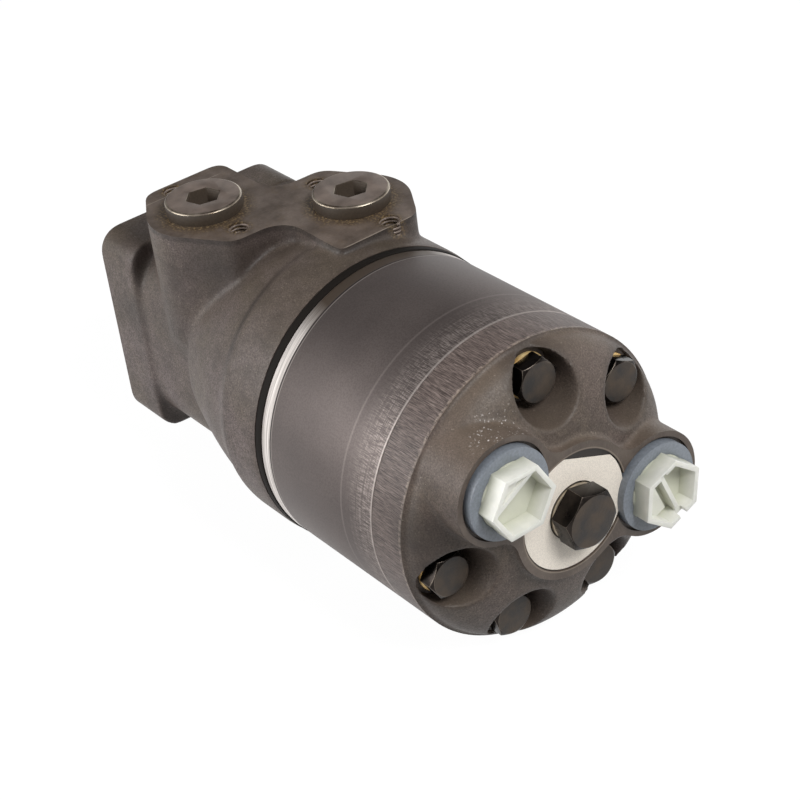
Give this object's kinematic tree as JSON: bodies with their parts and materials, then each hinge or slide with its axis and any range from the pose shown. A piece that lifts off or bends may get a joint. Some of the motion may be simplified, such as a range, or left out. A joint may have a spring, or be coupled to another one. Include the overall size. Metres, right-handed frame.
{
  "type": "orbital hydraulic motor",
  "caption": "Orbital hydraulic motor with a square mounting flange, keyed output shaft, roller gear set, plugged side and rear ports, and a cast end cover.",
  "frame": {"origin": "on the shaft axis, in the plane of the flange's mounting face", "axes": "+X runs along the shaft axis from the mounting face to the rear cover, so the output shaft points along -X. +Z points out of the side port face. +Y completes the right-handed frame."},
  "size_m": [0.2443, 0.0996, 0.1064],
  "materials": {
    "cast_dark": "dark phosphate over a fine cast grain",
    "ring_steel": "dark satin, ground",
    "black_bolt": "black oxide",
    "zinc_washer": "yellow zinc",
    "bright_steel": "ground",
    "seal_rubber": "matte",
    "clear_plastic": "translucent",
    "disc_plastic": "satin"
  },
  "bodies": {
    "motor_body": {"housing": "cast_dark", "dust_seal": "seal_rubber", "shaft_seal": "seal_rubber", "thrust_race": "bright_steel", "check_stops": "bright_steel", "seal_ring_front": "seal_rubber", "distributor_plate": "ring_steel", "seal_ring_middle": "seal_rubber", "gear_ring": "ring_steel", "seal_ring_rear": "seal_rubber", "end_cover": "cast_dark", "cover_bolts": "black_bolt", "bolt_washers": "zinc_washer", "drain_plug": "black_bolt", "drain_washer": "zinc_washer", "side_plug_a": "black_bolt", "side_plug_b": "black_bolt", "side_plug_seals": "seal_rubber", "rear_plug_left": "clear_plastic", "rear_plug_right": "clear_plastic", "rear_seal_discs": "disc_plastic"},
    "shaft": {"output_shaft": "bright_steel", "shaft_key": "bright_steel"},
    "needle_cage": {"thrust_needles": "bright_steel"},
    "spacer": {"cardan_spacer": "bright_steel"},
    "rotor": {"rotor": "bright_steel"},
    "cardan": {"cardan_shaft": "bright_steel"},
    "roller_1": {"roller_1": "bright_steel"},
    "roller_2": {"roller_2": "bright_steel"},
    "roller_3": {"roller_3": "bright_steel"},
    "roller_4": {"roller_4": "bright_steel"},
    "roller_5": {"roller_5": "bright_steel"},
    "roller_6": {"roller_6": "bright_steel"},
    "roller_7": {"roller_7": "bright_steel"},
    "check_ball_a": {"check_ball_a": "bright_steel"},
    "check_ball_b": {"check_ball_b": "bright_steel"}
  },
  "joints": [
    {"name": "output_spin", "type": "hinge", "parent": "motor_body", "child": "shaft", "pos_m": [0, 0, 0], "axis": [1, 0, 0], "continuous": true},
    {"name": "needle_cage_spin", "type": "hinge", "parent": "motor_body", "child": "needle_cage", "pos_m": [0, 0, 0], "axis": [1, 0, 0], "continuous": true},
    {"name": "orbit", "type": "hinge", "parent": "motor_body", "child": "spacer", "pos_m": [0, 0, 0], "axis": [1, 0, 0], "continuous": true},
    {"name": "rotor_spin", "type": "hinge", "parent": "spacer", "child": "rotor", "pos_m": [0.1345, 0, 0.0029], "axis": [1, 0, 0], "continuous": true},
    {"name": "cardan_spin", "type": "hinge", "parent": "spacer", "child": "cardan", "pos_m": [0.052, 0, 0], "axis": [0.9993, 0, 0.0369], "continuous": true},
    {"name": "roller_1_spin", "type": "hinge", "parent": "motor_body", "child": "roller_1", "pos_m": [0.1345, 0.0141, 0.02928], "axis": [1, 0, 0], "continuous": true},
    {"name": "roller_2_spin", "type": "hinge", "parent": "motor_body", "child": "roller_2", "pos_m": [0.1345, 0.03168, 0.00723], "axis": [1, 0, 0], "continuous": true},
    {"name": "roller_3_spin", "type": "hinge", "parent": "motor_body", "child": "roller_3", "pos_m": [0.1345, 0.02541, -0.02026], "axis": [1, 0, 0], "continuous": true},
    {"name": "roller_4_spin", "type": "hinge", "parent": "motor_body", "child": "roller_4", "pos_m": [0.1345, 0, -0.0325], "axis": [1, 0, 0], "continuous": true},
    {"name": "roller_5_spin", "type": "hinge", "parent": "motor_body", "child": "roller_5", "pos_m": [0.1345, -0.02541, -0.02026], "axis": [1, 0, 0], "continuous": true},
    {"name": "roller_6_spin", "type": "hinge", "parent": "motor_body", "child": "roller_6", "pos_m": [0.1345, -0.03168, 0.00723], "axis": [1, 0, 0], "continuous": true},
    {"name": "roller_7_spin", "type": "hinge", "parent": "motor_body", "child": "roller_7", "pos_m": [0.1345, -0.0141, 0.02928], "axis": [1, 0, 0], "continuous": true},
    {"name": "check_a_slide", "type": "slide", "parent": "motor_body", "child": "check_ball_a", "axis": [1, 0, 0], "range_m": [0, 0.001]},
    {"name": "check_b_slide", "type": "slide", "parent": "motor_body", "child": "check_ball_b", "axis": [1, 0, 0], "range_m": [0, 0.001]}
  ],
  "couplings": [
    {"joint": "orbit", "follows": "output_spin", "ratio": -6},
    {"joint": "rotor_spin", "follows": "output_spin", "ratio": 7},
    {"joint": "cardan_spin", "follows": "output_spin", "ratio": 7}
  ]
}
